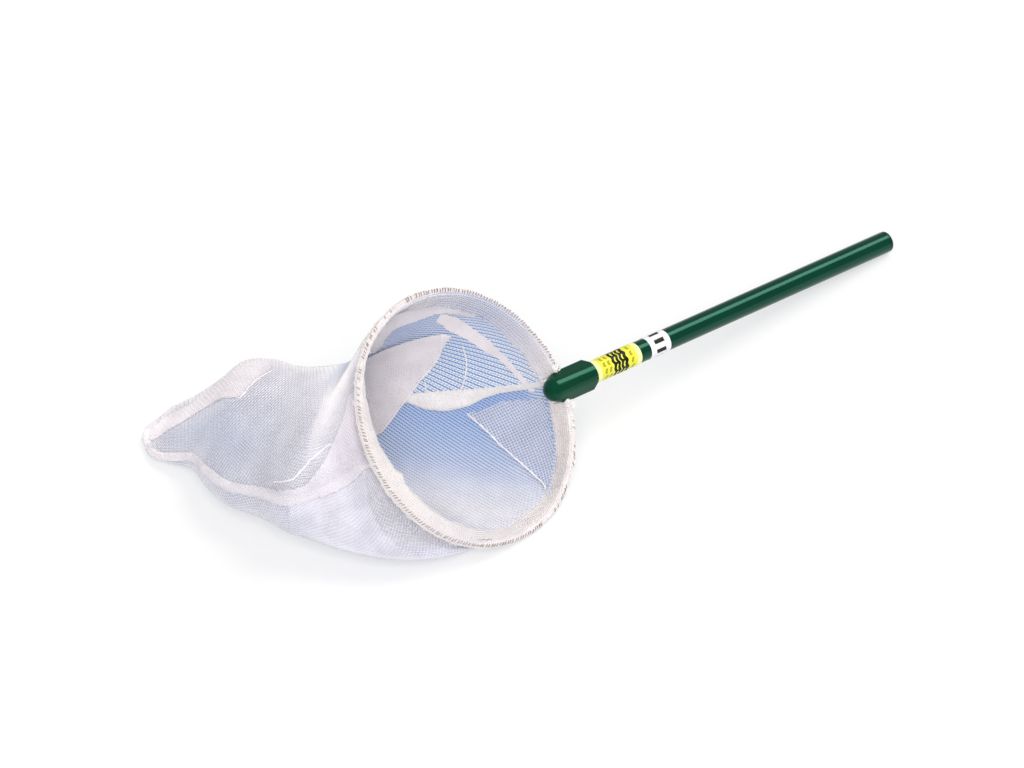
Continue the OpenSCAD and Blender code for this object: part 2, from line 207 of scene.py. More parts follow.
def row_points(row, a):
    """One row of the lying bag: an oval with a flat part on the ground."""
    along, middle, half_width, height = row
    turn = a + TWIST
    share = ((1 + sind(turn)) / 2 - FLAT_SHARE) / (1 - FLAT_SHARE)
    return (ALONG * along + ACROSS * (middle + half_width * cosd(turn))[..., None]
            + np.array([0, 0, 1]) * (height * np.maximum(share, 0))[..., None])


def skin_rings():
    """The bag's rings from the mouth to the toe, one column for each degree."""
    a = np.arange(0, 361.0) % 360
    first = row_points(BAG_ROWS[0], a)
    neck = [
        above(cubic(mouth(a), leave(a), first, ALONG * ROW_PULL, step / NECK_STEPS), 0)
        for step in range(NECK_STEPS)
    ]
    return np.array(neck + [row_points(row, a) for row in BAG_ROWS])


def middle_of(rings):
    """Middle of the net's outline on the ground, which the source puts at the origin."""
    edge_r = PLUG_HEAD / 2
    head_r = SLEEVE_R - 2 * FIT
    rear_x = ((TUBE_END_X + FIT + PLUG_HEAD - edge_r) * cosd(SLOPE)
              + (head_r - edge_r) * sind(SLOPE) + edge_r)
    low_y = (HOOP_SHIFT - SIDE_Y - SIDE_R) * cosd(ROLL) - HEM_R
    sampled = rings[:, ::5]     # every fifth degree, as in the source
    middle_x = (sampled[..., 0].min() + rear_x) / 2
    middle_y = (sampled[..., 1].max() + low_y) / 2
    return np.array([six_digits(middle_x), six_digits(middle_y), 0])


UNPLACED = skin_rings()
MIDDLE = middle_of(UNPLACED)
RINGS = UNPLACED - MIDDLE
LAST = len(RINGS) - 1       # the toe
CHORD = np.linalg.norm(np.diff(RINGS, axis=0), axis=-1)[..., None]
HEADING = np.diff(RINGS, axis=0) / CHORD
TANGENT = np.concatenate([
    HEADING[:1],
    (CHORD[:-1] * HEADING[1:] + CHORD[1:] * HEADING[:-1]) / (CHORD[:-1] + CHORD[1:]),
    HEADING[-1:],
])


def laid(p):
    """Points of the hoop's own plane, as they lie in the row frame."""
    return over_ground(p) - MIDDLE


def base_skin(v, a):
    """Outer skin of the bag at ring v, which may be a fraction, and angle a."""
    v, a = np.broadcast_arrays(np.asarray(v, float), np.asarray(a, float) % 360)
    ring = np.clip(np.floor(v).astype(int), 0, LAST - 1)
    t = (v - ring)[..., None]
    degree = np.floor(a).astype(int) % 360
    part = (a - np.floor(a))[..., None]

    def on_column(column):
        chord = CHORD[ring, column]
        return cubic(RINGS[ring, column], TANGENT[ring, column] * chord,
                     RINGS[ring + 1, column], TANGENT[ring + 1, column] * chord, t)
    return on_column(degree) * (1 - part) + on_column(degree + 1) * part


def outward(v, a, v_step=0.03, a_step=1.5):
    """Normal of the skin."""
    v = np.clip(v, v_step, LAST - v_step)
    along = base_skin(v + v_step, a) - base_skin(v - v_step, a)
    return unit(np.cross(along, base_skin(v, a + a_step) - base_skin(v, a - a_step)))


def wave_noise(x, y, seed, terms=7):
    """Smooth seeded noise in about -1..1."""
    draws = np.random.default_rng(seed)
    total = 0
    for _ in range(terms):
        wave = draws.normal(size=2)
        total = total + np.sin(wave[0] * x + wave[1] * y + draws.uniform(0, 6.28))
    return total / math.sqrt(terms)


def skin(v, a, depth=0.0):
    """Point of the netting, a depth inside the outer skin."""
    return above(base_skin(v, a) - outward(v, a) * np.asarray(depth)[..., None], NET_LOW)


# ---------------------------------------------------------------- flat patterns of the panels

class Panel:
    """Half of the bag on either side of an angle, with its flat pattern: x round the bag, y along it."""
    HALF_WIDTH, REACH, ROWS = 150, 240, 481

    def __init__(self, centre):
        self.centre = centre
        self.rings = np.linspace(0, LAST - 1, self.ROWS)
        angles = np.arange(centre - 90, centre + 91.0)
        points = base_skin(self.rings[:, None], angles[None, :])
        steps = np.linalg.norm(np.diff(points, axis=1), axis=-1)
        across = np.concatenate([np.zeros((len(points), 1)), np.cumsum(steps, 1)], 1)
        across -= across[:, 90:91]      # x is 0 at the centre's angle
        self.y = lengths_along(points[:, 90])
        self.left, self.right = across[:, 0], across[:, -1]
        x = np.arange(-self.HALF_WIDTH, self.HALF_WIDTH + 1.0)
        self.angles = np.array([np.interp(x, row, angles) for row in across])
        self.area = float(np.sum(steps[:-1] * np.diff(self.y)[:, None]))

    def ring(self, y):
        return np.interp(y, self.y, self.rings)

    def angle(self, x, y):
        row = np.clip(np.interp(y, self.y, np.arange(len(self.y))), 0, len(self.y) - 1.001)
        column = np.clip(x + self.HALF_WIDTH, 0, 2 * self.HALF_WIDTH - 0.001)
        i, j = row.astype(int), column.astype(int)
        s, t = row - i, column - j
        return ((self.angles[i, j] * (1 - t) + self.angles[i, j + 1] * t) * (1 - s)
                + (self.angles[i + 1, j] * (1 - t) + self.angles[i + 1, j + 1] * t) * s)

    def lattice(self, turn, offset=0.0, pitch=PITCH, margin=0.4, outline=None):
        """Crossings of threads at a turn in the flat pattern: rings, angles, and which ones lie on it."""
        count = int(self.REACH / pitch)
        steps = (np.arange(-count, count + 1) + offset) * pitch
        p, q = np.meshgrid(steps, steps, indexing="ij")
        x = p * cosd(turn) - q * sind(turn)
        y = p * sind(turn) + q * cosd(turn) + self.y[-1] / 2
        valid = self.inside(x, y, margin)
        v, a = self.ring(y), self.angle(x, y)
        if outline is not None:
            valid &= in_outline(v, signed(a - self.centre) + self.centre, outline)
        p, q = np.where(valid.any(1))[0], np.where(valid.any(0))[0]
        cut = (slice(p[0], p[-1] + 1), slice(q[0], q[-1] + 1))
        return v[cut], a[cut], valid[cut]

    def inside(self, x, y, margin):
        left = np.interp(y, self.y, self.left) + margin
        right = np.interp(y, self.y, self.right) - margin
        return (x > left) & (x < right) & (y > -SELVEDGE * PITCH) & (y < self.y[-1])


def in_outline(v, a, outline):
    """Whether points lie in a closed outline of (ring, angle) corners."""
    found = np.zeros(v.shape, bool)
    for (v0, a0), (v1, a1) in zip(outline, outline[1:] + outline[:1]):
        if a0 != a1:
            found ^= ((a0 > a) != (a1 > a)) & (v < v0 + (a - a0) * (v1 - v0) / (a1 - a0))
    return found


UPPER, LOWER, FAR, NEAR = Panel(90.0), Panel(270.0), Panel(0.0), Panel(180.0)


# ---------------------------------------------------------------- mesh helpers

def mesh_object(name, verts, quads, mat, painted_tint=None):
    """A piece of quads from points in millimetres, riding on the body."""
    quads = np.asarray(quads, np.int64)
    used, quads = np.unique(quads, return_inverse=True)
    quads = quads.reshape(-1, 4)
    verts = np.asarray(verts, float)[used] * MM
    mesh = bpy.data.meshes.new(name)
    mesh.vertices.add(len(verts))
    mesh.vertices.foreach_set("co", verts.ravel())
    mesh.loops.add(quads.size)
    mesh.loops.foreach_set("vertex_index", quads.ravel().astype(np.int32))
    mesh.polygons.add(len(quads))
    mesh.polygons.foreach_set("loop_start", np.arange(0, quads.size, 4, dtype=np.int32))
    mesh.polygons.foreach_set("use_smooth", np.full(len(quads), True))
    mesh.update()
    mesh.validate()
    # per-point share of painted shade and painted backdrop blue, which the cloth materials mix in
    if painted_tint is not None:
        layer = mesh.attributes.new("painted_tint", "FLOAT", "POINT")
        layer.data.foreach_set("value", np.asarray(painted_tint, np.float32)[used])
    mesh.materials.append(mat)
    obj = bpy.data.objects.new(name, mesh)
    bpy.context.scene.collection.objects.link(obj)
    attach(obj, "root")
    return obj


def grid_quads(rows, cols, closed=False):
    """Quads of a grid of points that is stored row by row; closed joins its last column to its first."""
    i = np.arange(rows - 1)[:, None]
    j = np.arange(cols if closed else cols - 1)[None, :]
    k = (j + 1) % cols
    quads = np.stack([i * cols + j, i * cols + k, (i + 1) * cols + k, (i + 1) * cols + j], -1)
    return quads.reshape(-1, 4)


def tube(points, radius):
    """Points and quads of a six-sided tube along a line, with closed ends."""
    sides = 6
    points = np.asarray(points, float)
    tangent = unit(np.gradient(points, axis=0))
    start = np.array([0, 0, 1.0]) if abs(tangent[0][2]) < 0.9 else np.array([1.0, 0, 0])
    side = []
    last = unit(np.cross(tangent[0], start))
    for t in tangent:
        last = unit(last - t * np.dot(last, t))
        side.append(last)
    side = np.array(side)
    other = np.cross(tangent, side)
    phi = np.arange(sides) * 2 * np.pi / sides
    ring = points[:, None] + radius * (
        side[:, None] * np.cos(phi)[None, :, None] + other[:, None] * np.sin(phi)[None, :, None])
    n = (len(points) - 1) * sides
    caps = [[3, 2, 1, 0], [5, 4, 3, 0], [n, n + 1, n + 2, n + 3], [n, n + 3, n + 4, n + 5]]
    return ring.reshape(-1, 3), np.concatenate([grid_quads(len(points), sides, closed=True), caps])


def merged(parts):
    """Several (points, quads) as one."""
    verts, quads, start = [], [], 0
    for part_verts, part_quads in parts:
        verts.append(part_verts)
        quads.append(np.asarray(part_quads) + start)
        start += len(part_verts)
    return np.concatenate(verts), np.concatenate(quads)


def neighbours(index, valid, axis):
    """Pairs of points next to each other along one direction of a grid, where both lie on the piece."""
    if axis == 1:
        both = valid[:, 1:] & valid[:, :-1]
        return index[:, :-1][both], index[:, 1:][both]
    both = valid[1:] & valid[:-1]
    return index[:-1][both], index[1:][both]


def netting(pos, normal, valid, radius, lift=WEAVE_LIFT):
    """Woven threads through a grid of points: three-sided tubes that pass over and under."""
    rows, cols = valid.shape
    parity = 1 - 2 * ((np.arange(rows)[:, None] + np.arange(cols)[None, :]) % 2)
    index = np.arange(rows * cols).reshape(rows, cols)
    phi = np.radians([90, 210, 330])
    radii = np.broadcast_to(radius, 2)
    verts, quads, start = [], [], 0
    for axis, sign in ((1, 1), (0, -1)):
        side = unit(np.cross(normal, unit(np.gradient(pos, axis=axis))))
        centre = pos + normal * (parity * sign * lift)[..., None]
        ring = centre[:, :, None] + radii[axis] * (
            normal[:, :, None] * np.sin(phi)[None, None, :, None]
            + side[:, :, None] * np.cos(phi)[None, None, :, None])
        verts.append(ring.reshape(-1, 3))
        a, b = neighbours(index, valid, axis)
        for corner in range(3):
            after = (corner + 1) % 3
            corners = [a * 3 + corner, a * 3 + after, b * 3 + after, b * 3 + corner]
            quads.append(np.stack(corners, -1) + start)
        start += rows * cols * 3
    return np.concatenate(verts), np.concatenate(quads)


def whole_netting(pos, normal, radius):
    """Woven threads through every point of a grid, lying close to it."""
    return netting(pos, normal, np.ones(pos.shape[:2], bool), radius, CLOSE_LIFT)


def ribbons(pos, normal, valid, width, axes=(1, 0)):
    """Flat threads through a grid of points, along one or both of its directions."""
    rows, cols = valid.shape
    index = np.arange(rows * cols).reshape(rows, cols) * 2
    verts, quads, start = [], [], 0
    for axis in axes:
        side = unit(np.cross(normal, np.gradient(pos, axis=axis))) * width / 2
        verts.append(np.stack([pos - side, pos + side], 2).reshape(-1, 3))
        a, b = neighbours(index, valid, axis)
        quads.append(np.stack([a, a + 1, b + 1, b], -1) + start)
        start += rows * cols * 2
    return np.concatenate(verts), np.concatenate(quads)


# ---------------------------------------------------------------- materials
# Noise scales are per metre, and heights of bumps are in metres

def new_material(name):
    mat = bpy.data.materials.new(name)
    mat.use_nodes = True
    nodes, links = mat.node_tree.nodes, mat.node_tree.links
    return mat, nodes, links, nodes["Principled BSDF"]


def put(node, **values):
    """Set inputs of a node, with _ for the spaces in their names."""
    for name, value in values.items():
        node.inputs[name.replace("_", " ")].default_value = value


def mixed(nodes, links, factor, first, second):
    """Mix of two colours, each a triple or a socket."""
    mix = nodes.new("ShaderNodeMix")
    mix.data_type = "RGBA"
    links.new(factor, mix.inputs[0])
    for slot, colour in ((6, first), (7, second)):
        if isinstance(colour, tuple):
            mix.inputs[slot].default_value = (*colour, 1)
        else:
            links.new(colour, mix.inputs[slot])
    return mix.outputs[2]


def math_node(nodes, links, operation, *values):
    """Result of one operation on numbers or sockets."""
    node = nodes.new("ShaderNodeMath")
    node.operation = operation
    for slot, value in enumerate(values):
        if isinstance(value, (int, float)):
            node.inputs[slot].default_value = value
        else:
            links.new(value, node.inputs[slot])
    return node.outputs[0]


def stretched(nodes, links, value, low, high):
    """A value's part from low to high, as 0 to 1."""
    span = nodes.new("ShaderNodeMapRange")
    put(span, From_Min=low, From_Max=high)
    links.new(value, span.inputs["Value"])
    return span.outputs["Result"]


def noise_factor(nodes, links, scale, low, high, detail=3.0):
    """Noise over the piece, with its part from low to high as 0 to 1."""
    coord = nodes.new("ShaderNodeTexCoord")
    noise = nodes.new("ShaderNodeTexNoise")
    put(noise, Scale=scale, Detail=detail)
    links.new(coord.outputs["Object"], noise.inputs["Vector"])
    return stretched(nodes, links, noise.outputs["Fac"], low, high)


def mesh_gaps(nodes, links):
    """0 in the small gaps of dense netting, which take painted shade, and 1 on its threads."""
    coord = nodes.new("ShaderNodeTexCoord")
    cells = nodes.new("ShaderNodeTexVoronoi")
    put(cells, Scale=520.0, Randomness=0.45)
    links.new(coord.outputs["Object"], cells.inputs["Vector"])
    return stretched(nodes, links, cells.outputs["Distance"], 0.16, 0.36)


def bump(nodes, links, bsdf, height, strength, distance):
    node = nodes.new("ShaderNodeBump")
    put(node, Strength=strength, Distance=distance)
    links.new(height, node.inputs["Height"])
    links.new(node.outputs["Normal"], bsdf.inputs["Normal"])


def cloth_material(name, dark, light, scale=60.0, painted_tint_colour=None, painted_gap_shade=None):
    """Spun thread or cloth: slow colour variation, fine fibre bump and a soft sheen.

    The tint colour is painted shade with the painted blue of a backdrop seen through the netting, used where
    the tint is 1; the holes colour is painted shade in the small gaps of dense netting."""
    mat, nodes, links, bsdf = new_material(name)
    colour = mixed(nodes, links, noise_factor(nodes, links, scale, 0.35, 0.65), dark, light)
    # painted shade in the small gaps of dense netting
    if painted_gap_shade:
        colour = mixed(nodes, links, mesh_gaps(nodes, links), painted_gap_shade, colour)
    # painted shade and painted backdrop blue, by each point's tint
    if painted_tint_colour:
        painted_tint = nodes.new("ShaderNodeAttribute")
        painted_tint.attribute_name = "painted_tint"
        colour = mixed(nodes, links, painted_tint.outputs["Fac"], colour, painted_tint_colour)
    links.new(colour, bsdf.inputs["Base Color"])
    fibres = noise_factor(nodes, links, 2600.0, 0.2, 0.8, 2.0)
    bump(nodes, links, bsdf, fibres, 0.35, 0.0002)
    put(bsdf, Roughness=0.85, Specular_IOR_Level=0.25, Sheen_Weight=0.15, Sheen_Roughness=0.5)
    return mat


def vinyl_material(name, dark, light, roughness):
    """Glossy moulded or dipped vinyl with a slight unevenness in colour, gloss and surface."""
    mat, nodes, links, bsdf = new_material(name)
    colour = mixed(nodes, links, noise_factor(nodes, links, 25.0, 0.3, 0.7), dark, light)
    links.new(colour, bsdf.inputs["Base Color"])
    gloss = nodes.new("ShaderNodeMapRange")
    put(gloss, To_Min=roughness * 0.85, To_Max=roughness * 1.2)
    links.new(noise_factor(nodes, links, 90.0, 0.3, 0.7), gloss.inputs["Value"])
    links.new(gloss.outputs["Result"], bsdf.inputs["Roughness"])
    bump(nodes, links, bsdf, noise_factor(nodes, links, 45.0, 0.2, 0.8, 1.0), 0.12, 0.0006)
    put(bsdf, Specular_Tint=(0.28, 1.0, 0.66, 1))
    return mat


# The tint colours here are painted shade with the painted blue of a backdrop seen through the netting
NET_THREAD = cloth_material("net_thread", (0.88, 0.84, 0.85), (0.95, 0.92, 0.93), painted_tint_colour=(0.42, 0.54, 0.78))
# Flat threads in the holes: painted shade and the painted blue of a backdrop seen through
NET_SHADE_FILL = cloth_material("net_fill_painted_shade", (0.49, 0.49, 0.60), (0.59, 0.59, 0.71), painted_tint_colour=(0.105, 0.24, 0.58))
FOLD_THREAD = cloth_material("fold_thread", (0.88, 0.82, 0.83), (0.96, 0.90, 0.91))
FOLD_FILL = cloth_material("fold_fill", (0.81, 0.76, 0.80), (0.90, 0.85, 0.88), painted_tint_colour=(0.34, 0.37, 0.56))
HEM_THREAD = cloth_material("hem_thread", (0.92, 0.87, 0.85), (0.97, 0.93, 0.91), painted_tint_colour=(0.84, 0.82, 0.87))
# The holes colours here are painted shade in the small gaps
HEM_CLOTH = cloth_material("hem_cloth", (0.82, 0.76, 0.75), (0.92, 0.86, 0.85), 90.0,
                           painted_tint_colour=(0.34, 0.39, 0.60), painted_gap_shade=(0.58, 0.53, 0.55))
SEAM_CLOTH = cloth_material("seam_cloth", (0.86, 0.81, 0.82), (0.95, 0.91, 0.92), 120.0,
                            painted_gap_shade=(0.66, 0.62, 0.68))
# A lighter copy of the seam cloth: painted light on the far seam's lens
LENS_CLOTH_LIT = cloth_material("lens_cloth_painted_light", (0.94, 0.90, 0.90), (0.98, 0.96, 0.96), 120.0,
                            painted_gap_shade=(0.80, 0.76, 0.80))
STITCH = cloth_material("stitch_thread", (0.22, 0.15, 0.12), (0.42, 0.33, 0.27), 300.0)
WHITE_THREAD = cloth_material("white_thread", (0.86, 0.83, 0.80), (0.96, 0.94, 0.92), 300.0)
GREEN_VINYL = vinyl_material("green_vinyl", (0.0, 0.026, 0.014), (0.0, 0.034, 0.019), 0.13)
BOOT_VINYL = vinyl_material("boot_vinyl", (0.0, 0.027, 0.011), (0.001, 0.040, 0.018), 0.17)
PLUG_PLASTIC = vinyl_material("plug_plastic", (0.001, 0.010, 0.007), (0.002, 0.016, 0.011), 0.35)


# ---------------------------------------------------------------- the bag

def painted_blue_share(v, a):
    """Painted tint of the netting: painted shade and the painted blue of a backdrop seen through it, strong
    where one layer closes the far side of the mouth and faint on the bag's end.
    """
    turn = signed(a)
    high = 1 - 0.45 * ramp(turn, 28, 58) - 0.55 * ramp(turn, 75, 120)
    deep = (0.75 + 0.25 * ramp(v, 0, 3)) * (1 - ramp(v, 5.5, 8))
    far = ramp(turn, -82, -10) * high * deep
    return far + 0.28 * bell(v, 11.5, 2.6) * bell(a, 140, 34)


def for_corners(values, corners):
    """Values of a grid's points for every corner of the threads that cross there."""
    return np.tile(np.repeat(values.ravel(), corners), 2)


def net_panel(side, panel, turn):
    """Netting of one panel: threads that are turned in the flat pattern, and flat threads between them whose
    colour is painted shade and painted backdrop blue in the holes.
    """
    v, a, valid = panel.lattice(turn)
    verts, quads = netting(skin(v, a, NET_T / 2), outward(v, a), valid, THREAD_R)
    threads = mesh_object("net_" + side, verts, quads, NET_THREAD, for_corners(painted_blue_share(v, a), 3))
    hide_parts("bag_" + side + "_panel")
    # flat threads between the threads, carrying painted shade and painted backdrop blue
    v, a, valid = panel.lattice(turn, 0.5)
    pos, normal = skin(v, a, NET_T / 2), outward(v, a)
    at_mouth = (v < 6) & (np.abs(signed(a)) < 100)      # there the flat threads run the other way
    verts, quads = merged([
        ribbons(pos, normal, valid & at_mouth, FILL_WIDTH, (0,)),
        ribbons(pos, normal, valid & ~at_mouth, FILL_WIDTH, (1,)),
    ])
    fill = mesh_object("fill_" + side, verts, quads, NET_SHADE_FILL, for_corners(painted_blue_share(v, a), 2))
    return threads, fill


def fold(name, panel, turn, outline, depth, painted_tint=0.0, mats=(FOLD_THREAD, FOLD_FILL)):
    """Second layer of netting where the bag is folded over itself, inside an outline on the skin."""
    v, a, valid = panel.lattice(turn, 0.0, FOLD_PITCH, 0.0, outline)
    verts, quads = netting(skin(v, a, depth), outward(v, a), valid, FOLD_THREAD_R)
    # the tint gives the fold painted shade and painted backdrop blue
    threads = mesh_object("fold_" + name, verts, quads, mats[0], np.full(len(verts), painted_tint / 2))
    v, a, valid = panel.lattice(turn, 0.5, FOLD_PITCH, 0.0, outline)
    verts, quads = ribbons(skin(v, a, depth), outward(v, a), valid, FOLD_FILL_WIDTH)
    fill = mesh_object("foldfill_" + name, verts, quads, mats[1], np.full(len(verts), painted_tint))
    return [threads, fill]


net_upper, painted_fill_upper = net_panel("upper", UPPER, 27.0)
net_lower, painted_fill_lower = net_panel("lower", LOWER, 60.0)

# Edges that a fold and its crease share, as (ring, angle)
MOUTH_EDGE = [(3.5, 28), (4.55, 11), (5.3, -8), (5.8, -24), (6.8, -30)]
DIAGONAL = [(3.45, -12), (3.15, -18), (2.6, -28), (2.0, -36)]
TOP_EDGE = [(10.4, 109), (10.1, 91), (9.7, 76)]
FOLDS = [       # name, panel, turn of the threads, outline, depth, tint of painted shade and backdrop blue, materials
    # the doubled part across the mouth, which goes on along the top of the bag
    ("mouth", FAR, 70.0, [
        (2.6, 39), (2.75, 45), (3.6, 52), (4.85, 60), (7.4, 58), (9, 52), (10.2, 42), (10.4, -5), (9.1, 3),
        (7.05, 5), *MOUTH_EDGE[::-1]], 3.4),
    # the pleat along the rim, between the upper windows
    ("rim", FAR, 35.0, [
        (1.35, 63), (1.3, 50), (1.45, 37), (1.4, 20), (1.25, 11), (1.0, 1), (0.7, -4), (1.2, -3), (1.5, 7),
        (1.75, 16), (2.05, 22), (2.35, 37), (2.45, 45), (2.2, 58)], 1.6),
    # the wedge between the far seam and the diagonal seam
    ("wedge", FAR, 20.0, [
        *DIAGONAL, (0.4, -53), (0.2, -30), (0.2, -6), (2.3, -6)], 1.6, 0.48, (NET_THREAD, NET_SHADE_FILL)),
    # the layers over the upper side of the mouth, up to the first window
    ("brow", UPPER, 24.0, [
        (0.05, 45), (0.5, 46), (1.1, 55), (1.35, 63), (1.75, 66), (2.4, 70), (2.7, 78), (3.05, 82),
        (3.95, 75), (4.85, 62), (5.25, 57), (6.0, 75), (5.5, 95), (3.0, 110), (0.05, 112)], 1.6),
    # the doubled band along the upper outline of the bag's end
    ("top", UPPER, 10.0, [
        (10.0, 58), (10.7, 62), (12.4, 78), (14.4, 84), (15.4, 110), (15.4, 165), (13.6, 122), (12.65, 114),
        (10.75, 111), *TOP_EDGE], -0.2, 0.15),
    # the wide doubled band along the near seam
    ("near", NEAR, 50.0, [
        (15.4, 172), (11.8, 178), (9.5, 176), (8.2, 171), (6.4, 170), (5.0, 164), (4.0, 158), (3.1, 152),
        (2.2, 143), (0.3, 150), (0.3, 176), (1.6, 180), (2.6, 184), (4.0, 186), (6.4, 184), (8.0, 185),
        (9.5, 188), (11.8, 190), (15.4, 188)], -0.2, 0.3),
]
folds = {name: fold(name, *rest) for name, *rest in FOLDS}


def strip(name, path, width, rise, crown, inward=False, node=None, mat=SEAM_CLOTH):
    """Raised strip of dense cloth on a path of (ring, angle) corners; the width may vary along it.

    rise is its height over the skin, crown the height of its arched middle over its edges."""
    path = np.array(path, float)
    s = lengths_along(base_skin(path[:, 0], path[:, 1]))
    t = np.linspace(0, s[-1], max(12, int(s[-1] / STRIP_STEP)))
    v, a = np.interp(t, s, path[:, 0]), np.interp(t, s, path[:, 1])
    wide = np.interp(t, s, np.broadcast_to(np.asarray(width, float), len(path)))
    middle = skin(v, a, NET_T / 2)
    normal = outward(v, a) * (-1 if inward else 1)
    across = unit(np.cross(normal, np.gradient(middle, axis=0)))

    def line(c, lift):
        """Points along the strip at a share c of its half width."""
        return middle + across * (c * wide / 2)[:, None] + normal * (rise + np.asarray(lift))[..., None]

    def arch(c):
        return crown * (1 - c * c) * np.minimum(1, wide / 4)

    def ripple(c):
        return RIPPLE * np.sin(t * 2 * np.pi / RIPPLE_LENGTH + c * 2)

    top = [line(c, arch(c) + ripple(c)) for c in np.linspace(-1, 1, 7)]
    under = [line(c, -STRIP_T) for c in np.linspace(1, -1, 5)]
    grid = above(np.stack(top + under, 1), CLOTH_LOW)
    verts, quads = grid.reshape(-1, 3), grid_quads(*grid.shape[:2], closed=True)
    if min(wide) >= WOVEN_WIDTH:
        columns = np.linspace(-1, 1, max(4, int(max(wide) / SEAM_PITCH)))
        pos = above(np.stack([line(c, arch(c) + 0.2) for c in columns], 1), SEWN_LOW)
        weave = whole_netting(pos, np.broadcast_to(normal[:, None], pos.shape), SEAM_THREAD_R)
        verts, quads = merged([(verts, quads), weave])
    piece = mesh_object(name, verts, quads, mat)
    if node:
        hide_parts(node)


whole_length = np.linspace(0.02, LAST - 1, 120)
strip("seam_near", [(v, 180) for v in whole_length], 6.0, 0.35, 0.3, node="side_seam_near")
LENS = [    # ring, angle and width of the far seam, which folds over as a lens below the mouth fold
    (0.02, 0, 4.0), (1.3, 0, 4.0), (2.3, -0.3, 4.6), (2.9, -1.4, 7.5), (3.4, -3.4, 12.5), (4.0, -4.4, 15.0),
    (4.5, -3.6, 12.5), (5.0, -1.2, 6.5), (5.4, -0.2, 4.6), (6.0, 0, 4.4), (LAST - 1, 0, 4.4),
]
strip("seam_far", [row[:2] for row in LENS], [row[2] for row in LENS], 0.9, 0.9, True, "side_seam_far",
      LENS_CLOTH_LIT)
CREASES = {     # path, width, rise, inward
    "edge": ([(2.6, 39), (2.75, 45), *MOUTH_EDGE], 1.3, 3.2, True),
    "diagonal": ([*DIAGONAL, (1.2, -45), (0.4, -53)], 1.2, 1.5, True),
    "ridge": ([(2.6, 29), (2.9, 18), (3.3, 6), (3.65, -3)], 1.0, 1.5, True),
    "curve": ([(4.4, 10), (4.45, 4), (4.3, -1), (4.2, -4)], 0.9, 1.5, True),
    "upper": ([(11.15, 109), *TOP_EDGE], 1.1, 0.5, False),
    "lower": ([(8.55, 167), (7.4, 160), (6.25, 155), (4.6, 156), (3.4, 161)], 1.1, 0.5, False),
}
for name, (path, width, rise, inward) in CREASES.items():
    strip("crease_" + name, path, width, rise, 0.3, inward)


def toe():
    """The gathered, stitched end of the bag, with puckers all round."""
    puckers, height, drawn_in = 9, 0.05, 0.55
    a = np.arange(0, 360, 7.5)
    rings = []
    for k, v in enumerate(np.linspace(LAST - 1.25, LAST, 11)):
        ring = base_skin(np.full_like(a, v), a)
        middle = ring.mean(0)
        size = 1.01 + height * np.sin(np.radians(a) * puckers + k)
        rings.append(middle + (ring - middle) * size[:, None] * (1 if v < LAST else drawn_in))
    grid = above(np.array(rings), TOE_LOW)
    tip = np.broadcast_to(grid[-1].mean(0), (1, len(a), 3))
    grid = np.concatenate([grid, tip])
    quads = grid_quads(len(grid), len(a), closed=True)
    piece = mesh_object("toe_gather", grid.reshape(-1, 3), quads, SEAM_CLOTH)
    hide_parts("toe_seam")


toe()


# ---------------------------------------------------------------- the hem

def beside_handle(side, y):
    """Angle from the handle to the hoop's point that is y from the handle's line."""
    return np.degrees(np.arcsin((y - side * HOOP_SHIFT) / FRONT_R))


def hem_profile():
    """Section of the hem as (down the skirt, outward) by length from its outer lower edge."""
    half = NET_T * 0.55     # of the skirt's thickness
    slack = np.array([[HEM_DROP, half], [10.0, half + 0.2], [7.2, 1.3], [4.4, 2.2]])
    turn = np.linspace(62, 298, 30)
    roll = np.stack([cosd(turn), sind(turn)], -1) * ROLL_R
    points = np.concatenate([slack, roll, slack[::-1] * [1, -1]])
    return lengths_along(points), points


HEM_FROM, HEM_TO = beside_handle(1, HEM_START_Y), 360 - beside_handle(-1, HEM_START_Y)
RIM_ARC = np.arange(HEM_FROM, HEM_TO, 0.1)
RIM_LEN = lengths_along(oval(RIM_ARC))
PROFILE_S, PROFILE = hem_profile()
PROFILE_T = unit(np.gradient(PROFILE, axis=0))
PROFILE_N = np.stack([PROFILE_T[:, 1], -PROFILE_T[:, 0]], -1)
RIM_TOP = PROFILE_S[-1] / 2     # of the section, opposite the skirt


def rim_angle(length):
    """Angle round the mouth at a length along the rim."""
    return np.interp(length, RIM_LEN, RIM_ARC)


def hem_surface(length, s, offset):
    """Points and normals of the hem, by length round the rim and along its section."""
    length, s = np.broadcast_arrays(np.asarray(length, float), np.asarray(s, float))
    a = rim_angle(length)
    down = skirt(a)
    out = unit(np.cross(np.cross(down, hoop_out(a)), down))
    d, o = [np.interp(s, PROFILE_S, part) for part in PROFILE.T]
    normal_d, normal_o = [np.interp(s, PROFILE_S, part) for part in PROFILE_N.T]
    lump = offset + 0.28 * wave_noise(length * 0.5, s * 0.14, 3)
    edge = ramp(d, 4, HEM_DROP)     # the skirt hangs freely towards its edge
    hang = 1.7 + 3.5 * bell(a, TAB_ANGLE, 2.6) + 0.4 * wave_noise(length * 0.3, 0 * s, 9)
    sway = 0.5 * wave_noise(length * 0.16, 0 * s, 5)
    d = d + normal_d * lump + edge * hang
    o = o + normal_o * lump + edge * sway
    pos = laid(oval(a)) + down * d[..., None] + out * o[..., None]
    return above(pos, SEWN_LOW), down * normal_d[..., None] + out * normal_o[..., None]


def roll_place(length, lean):
    """Place along the section where the roll faces so many degrees outward of the hoop's upper side."""
    return RIM_TOP + np.radians(skirt_turn(rim_angle(length)) - lean) * ROLL_R


def hem_painted_tint(length, s):
    """Share of painted shade and painted backdrop blue in the hem's colour: on its inner face, mostly over
    the raised side of the mouth.
    """
    a = rim_angle(length)
    return (0.85 * bell(a, 50, 38) + 0.2 * bell(a, 240, 35)) * ramp(s, RIM_TOP - 1, RIM_TOP + 3)


